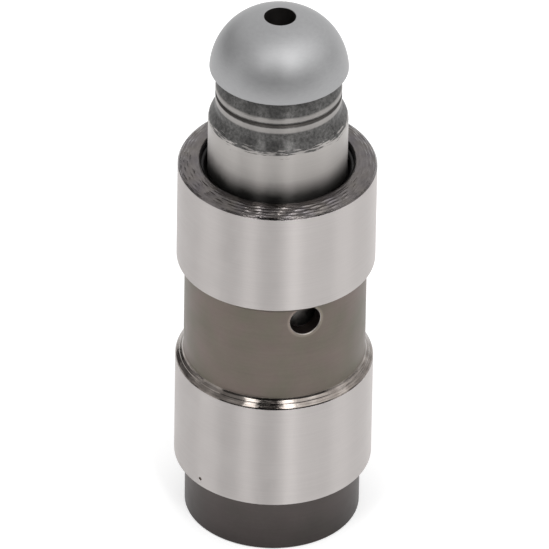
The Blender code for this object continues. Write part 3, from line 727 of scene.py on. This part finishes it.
def buildPressurePlunger():
    p = pressure
    recessTop = p["bottom"] + p["recessDepth"]
    portLow = recessTop + p["seatDepth"]
    portTop = portLow + p["portLength"]
    piece = turned("lower_plunger", roundedOutline([
        (p["recess"], p["bottom"], p["edge"]), (p["guide"], p["bottom"], p["guideEdge"]),
        (p["guide"], p["top"], p["guideEdge"]), (p["cup"], p["top"], p["edge"]),
        (p["cup"], portTop, p["cupFillet"]), (p["port"], portTop, p["portEdge"]),
        (p["port"], portLow, p["seatEdge"]), (p["seatMouth"], recessTop, p["edge"]),
        (p["recess"], recessTop, p["recessFillet"]),
    ]))
    # ground where it slides in the bore, and left as it was hardened elsewhere
    finishes = {
        "guide": turnedSteel("ground steel lower plunger", groundLook),
        "rest": turnedSteel("as-hardened steel lower plunger", oxideLook),
    }
    finishPiece(piece, "pressure_plunger", "lower_stack", finishes,
                lambda r, z: {"guide": r > p["guide"] - near, "rest": r > 0})


cageLow, cageHigh = frameBox("check_ball_cage")
cage = {
    "bottom": cageLow[2], "top": cageHigh[2], "flange": cageHigh[0], "sheet": 0.35, "inner": 1.35,
    "stopRadius": 0.40, "stopFlare": 0.18, "stopHeight": 0.54,  # the stop just clears the lifted ball
    "bend": 0.20, "innerBend": 0.06, "edge": 0.03, "stopHollow": 0.05, "stopFoot": 0.08,
    "windows": 3, "windowWidth": 1.10, "windowHeight": 0.90, "columns": 120,
}


def buildCage():
    c = cage
    outer = c["inner"] + c["sheet"]
    floor = c["bottom"] + c["sheet"]
    stop = floor + c["stopHeight"]
    hollow = c["stopRadius"] - c["sheet"] / 2
    flangeLow = c["top"] - c["sheet"]
    piece = turned("pressed_cage", roundedOutline([
        (0, stop - c["sheet"], 0), (hollow, stop - c["sheet"], c["stopHollow"]),
        (hollow + c["stopFlare"], c["bottom"], c["stopFoot"]), (outer, c["bottom"], c["bend"]),
        (outer, flangeLow, c["innerBend"]), (c["flange"], flangeLow, c["edge"]),
        (c["flange"], c["top"], c["edge"]), (c["inner"], c["top"], c["bend"]),
        (c["inner"], floor, c["innerBend"]), (c["stopRadius"] + c["stopFlare"], floor, c["innerBend"]),
        (c["stopRadius"], stop, c["innerBend"]), (0, stop, 0),
    ]), c["columns"])
    # each window is cut by a box that reaches from the axis out through one side
    middle = (floor + flangeLow) / 2
    corners = np.array([(x, y, z) for x in (-1, 1) for y in (-1, 1) for z in (-1, 1)]) / 2
    box = np.array([(0, 1, 3, 2), (4, 6, 7, 5), (0, 4, 5, 1), (2, 3, 7, 6), (0, 2, 6, 4), (1, 5, 7, 3)])
    size, place = [c["windowWidth"], outer, c["windowHeight"]], [0, -outer, middle]
    cutters = []
    for i in range(c["windows"]):
        cutter = makePiece(f"window_{i}", corners * size + place, [box])
        cutter.data.transform(Matrix.Rotation(2 * math.pi * i / c["windows"], 4, "Z"))
        cutters.append(cutter)
    cutAway(piece, *cutters)
    # bright rolled strip, pressed to shape: fine rolling marks one way
    sheet = plainMetal("pressed bright strip steel", "#B4B1AE", 0.34, 0.12, (1, 0.1, 1), 0.06)
    finishPiece(piece, "check_ball_cage", "lower_stack", {"sheet": sheet})


checkBall = {"rings": 49, "columns": 96}


def buildCheckBall():
    low, high = frameBox("check_ball")
    outline = ballOutline((high[2] - low[2]) / 2, (high[2] + low[2]) / 2, checkBall["rings"])
    # a lapped bearing ball: near mirror
    steel = plainMetal("lapped bearing ball", "#D8D8DA", 0.08, 0.3, (1, 1, 1), 0.0)
    ball = turned("valve_ball", outline, checkBall["columns"])
    finishPiece(ball, "check_ball", "check_ball", {"ball": steel})


# travel is how much the joint shortens the spring
returnSpring = {"wire": 0.60, "sides": 24, "coil": 3.25, "turns": 5, "closedGap": 0.03, "travel": 3.0}
checkSpring = {"wire": 0.20, "sides": 16, "coil": 0.78, "turns": 2.5, "travel": 0.3}
turnSteps = 64  # points in each turn of a coil


def coilCentres(radius, turns, heights):
    # the points of a coil: x = R cos a, y = R sin a, and z from the number of turns so far
    turn = np.linspace(0, turns, round(turns * turnSteps) + 1)
    angle = 2 * np.pi * turn
    return np.stack([radius * np.cos(angle), radius * np.sin(angle), heights(turn)], axis=-1)


def buildSprings():
    # oil-tempered wire: a thin dark blue-grey scale with drawing marks along it
    wire = plainMetal("oil-tempered spring wire", "#6C6D72", 0.36, 0.10, (1, 1, 1), 0.08)
    low, high = frameBox("return_spring")
    s = returnSpring
    closed = s["wire"] + s["closedGap"]
    rise = high[2] - low[2] - 2 * closed

    def closedEnds(turn):
        # one closed turn at each end, and an even rise between them
        ends = np.minimum(turn, 1) + np.maximum(turn - s["turns"] + 1, 0)
        return low[2] + closed * ends + rise * np.clip(turn - 1, 0, s["turns"] - 2) / (s["turns"] - 2)

    centres = coilCentres(s["coil"], s["turns"], closedEnds)
    coil = bentWire("plunger_spring", centres, s["wire"], s["sides"], low[2], high[2])
    finishPiece(coil, "return_spring", "housing", {"wire": wire})
    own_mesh(coil)

    low, high = frameBox("check_ball_spring")
    s = checkSpring
    start, end = low[2] + s["wire"] / 2, high[2] - s["wire"] / 2
    centres = coilCentres(s["coil"], s["turns"], lambda turn: start + (end - start) * turn / s["turns"])
    coil = bentWire("valve_spring", centres, s["wire"], s["sides"])
    finishPiece(coil, "check_ball_spring", "lower_stack", {"wire": wire})
    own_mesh(coil)


ring = {"wire": 0.60, "sides": 24, "centre": 4.57, "opening": math.radians(32), "steps": 220}


def buildRing():
    # a split ring of round wire, with its gap at the back
    angle = np.linspace(ring["opening"] / 2, 2 * np.pi - ring["opening"] / 2, ring["steps"]) + np.pi / 2
    centres = np.stack([ring["centre"] * np.cos(angle), ring["centre"] * np.sin(angle),
                        0 * angle + cup["ringZ"]], axis=-1)
    # spring wire with a black oxide skin: near black, faintly shiny
    black = plainMetal("black oxide wire", "#2B2A2A", 0.34, 0.15, (1, 1, 1), 0.08)
    wire = bentWire("snap_ring", centres, ring["wire"], ring["sides"])
    finishPiece(wire, "retaining_ring", "housing", {"wire": black})


buildHousing()
buildBallPlunger()
buildPressurePlunger()
buildCage()
buildCheckBall()
buildSprings()
buildRing()


# Studio

# Where the photograph was taken from: degrees from -Y and up, mm from the point that it looks at, that
# point's height and its distance to the right of the axis, the picture's tilt in degrees, and the focal
# length in pixels of a picture this many pixels wide
photo = {"azimuth": -19.9, "elevation": 35.37, "distance": 833.3, "aimHeight": 16.658, "aside": -0.064,
         "roll": 1.0, "focalPixels": 13809.3, "pixels": 549}


def direction(azimuth, elevation):
    # a unit vector: azimuth 0 is on -Y and turns towards +X
    a, e = math.radians(azimuth), math.radians(elevation)
    return Vector((math.sin(a) * math.cos(e), -math.cos(a) * math.cos(e), math.sin(e)))


def makeCamera():
    # a square picture of the aim point, from the photograph's direction, distance and tilt
    data = bpy.data.cameras.new("camera")
    data.sensor_width = 36
    data.lens = data.sensor_width * photo["focalPixels"] / photo["pixels"]
    data.clip_start, data.clip_end = 0.01, 10
    camera = bpy.data.objects.new("camera", data)
    bpy.context.scene.collection.objects.link(camera)
    back = direction(photo["azimuth"], photo["elevation"])
    right = Vector((0, 0, 1)).cross(back).normalized()
    aim = Vector((0, 0, photo["aimHeight"])) + right * photo["aside"]
    camera.location = (aim + back * photo["distance"]) * mm
    turn = Matrix((right, back.cross(right), back)).transposed().to_4x4()
    camera.rotation_euler = (turn @ Matrix.Rotation(math.radians(photo["roll"]), 4, "Z")).to_euler()
    bpy.context.scene.camera = camera


# The room is paper white as it is seen, and lights the object with less
room = {"seen": 1.0, "light": 0.75}

# The paper under the object, in mm: matt, with a glow as it is seen
paper = {"half": 3000, "drop": 0.01, "tone": 0.8, "roughness": 0.9, "glow": 0.42}

# Pieces of the room that the metal reflects: azimuth from the camera and elevation in degrees, tone of
# white, and the distance in metres where it isn't cardDistance
cardDistance = 1.6
cardSteps = (48, 12)  # faces of a card across and up
cards = {
    "dark_room": {"azimuth": (-61, 66), "elevation": (0, 32), "tone": 0.13},
    "camera_and_stand": {"azimuth": (-25, 8), "elevation": (0, 60), "tone": 0.03, "distance": 1.3},
    "left_side": {"azimuth": (-128, -88), "elevation": (0, 28), "tone": 0.25},
    "left_corner": {"azimuth": (-150, -128), "elevation": (0, 16), "tone": 0.12},
    "right_side": {"azimuth": (88, 122), "elevation": (0, 16), "tone": 0.40},
    "upper_left": {"azimuth": (-105, 24), "elevation": (32, 52), "tone": 0.58},
    "upper_right": {"azimuth": (24, 110), "elevation": (32, 72), "tone": 1.65, "distance": 1.5},
    "ceiling": {"azimuth": (-180, 180), "elevation": (52, 90), "tone": 0.82},
}

# Lamps: azimuth from the camera and elevation in degrees, width and height in metres
lampDistance = 1.2  # metres
lamps = {
    "left_strip": {"azimuth": -32.0, "elevation": 52, "width": 0.20, "height": 0.80, "radiance": 4.3},
    "right_strip": {"azimuth": 21.5, "elevation": 52, "width": 0.17, "height": 0.80, "radiance": 5.8},
    "soft_overhead": {"azimuth": 46, "elevation": 58, "width": 0.85, "height": 0.75, "radiance": 0.35},
}


def emission(name, tone):
    # a surface that gives off this tone of white and mirrors nothing
    material, tree, shader = newMaterial(name)
    tree.nodes.remove(shader)
    light = addNode(tree, "ShaderNodeEmission", {"Color": (1, 1, 1, 1), "Strength": tone})
    joinSockets(tree, tree.nodes["Material Output"], {"Surface": (light, 0)})
    return material


def makeCard(name, card):
    # A patch of a sphere round the object, between two azimuths and two elevations, seen only in gloss:
    # R (sin a cos e, -cos a cos e, sin e)
    across, up = cardSteps
    radius = card.get("distance", cardDistance) / mm
    a = np.radians(np.linspace(*card["azimuth"], across + 1) + photo["azimuth"])[None, :]
    e = np.radians(np.linspace(*card["elevation"], up + 1))[:, None]
    points = np.stack([radius * np.sin(a) * np.cos(e), -radius * np.cos(a) * np.cos(e),
                       radius * np.sin(e) + 0 * a], axis=-1).reshape(-1, 3)
    row = across + 1
    i, j = np.arange(up)[:, None] * row, np.arange(across)[None, :]
    faces = np.stack([i + j, i + j + 1, i + j + row + 1, i + j + row], axis=-1).reshape(-1, 4)
    patch = makePiece(name, points, [faces])
    patch.data.materials.append(emission(name, card["tone"]))
    patch.visible_camera = patch.visible_diffuse = patch.visible_shadow = False


def makeLamp(name, lamp):
    # a rectangle that faces the object, whose power is radiance x pi x its area
    data = bpy.data.lights.new(name, "AREA")
    data.shape = "RECTANGLE"
    data.size, data.size_y = lamp["width"], lamp["height"]
    data.energy = lamp["radiance"] * math.pi * lamp["width"] * lamp["height"]
    light = bpy.data.objects.new(name, data)
    bpy.context.scene.collection.objects.link(light)
    aim = direction(lamp["azimuth"] + photo["azimuth"], lamp["elevation"])
    light.location = aim * lampDistance
    light.rotation_euler = aim.to_track_quat("Z", "Y").to_euler()
    light.visible_camera = False


def seenDirectly(tree):
    # 1 for rays from the camera, from gloss and through glass, 0 for the rest
    path = addNode(tree, "ShaderNodeLightPath")
    first = addNode(tree, "ShaderNodeMath", {"operation": "MAXIMUM"},
                    {0: (path, "Is Camera Ray"), 1: (path, "Is Glossy Ray")})
    return addNode(tree, "ShaderNodeMath", {"operation": "MAXIMUM"},
                   {0: (first, 0), 1: (path, "Is Transmission Ray")})


def makeWorld():
    # white all round, with the strength that room gives
    world = bpy.data.worlds.new("white studio")
    bpy.context.scene.world = world
    world.use_nodes = True
    tree = world.node_tree
    background = tree.nodes["Background"]
    background.inputs["Color"].default_value = (1, 1, 1, 1)
    strength = addNode(tree, "ShaderNodeMapRange", {"To Min": room["light"], "To Max": room["seen"]},
                       {"Value": (seenDirectly(tree), 0)})
    joinSockets(tree, background, {"Strength": (strength, 0)})


def makeFloor():
    # white paper: matt, with a glow for the camera and for gloss so that it reads as white, less its shadow
    sheet, tree, shader = newMaterial("white paper floor")
    shader.inputs["Base Color"].default_value = (paper["tone"],) * 3 + (1,)
    shader.inputs["Roughness"].default_value = paper["roughness"]
    shader.inputs["Specular IOR Level"].default_value = 0.0
    shader.inputs["Emission Color"].default_value = (1, 1, 1, 1)
    glow = addNode(tree, "ShaderNodeMath", {"operation": "MULTIPLY", 1: paper["glow"]},
                   {0: (seenDirectly(tree), 0)})
    joinSockets(tree, shader, {"Emission Strength": (glow, 0)})
    # it lies a hair under the foot, so that the two faces don't fight
    corners = np.array([(-1, -1, 0), (1, -1, 0), (1, 1, 0), (-1, 1, 0)]) * paper["half"]
    floor = makePiece("paper_floor", corners - [0, 0, paper["drop"]], [np.array([[0, 1, 2, 3]])])
    floor.data.materials.append(sheet)


makeWorld()
makeFloor()
for name, card in cards.items():
    makeCard(name, card)
for name, lamp in lamps.items():
    makeLamp(name, lamp)
makeCamera()
bpy.context.scene.view_settings.view_transform = "Standard"
print("studio ready")
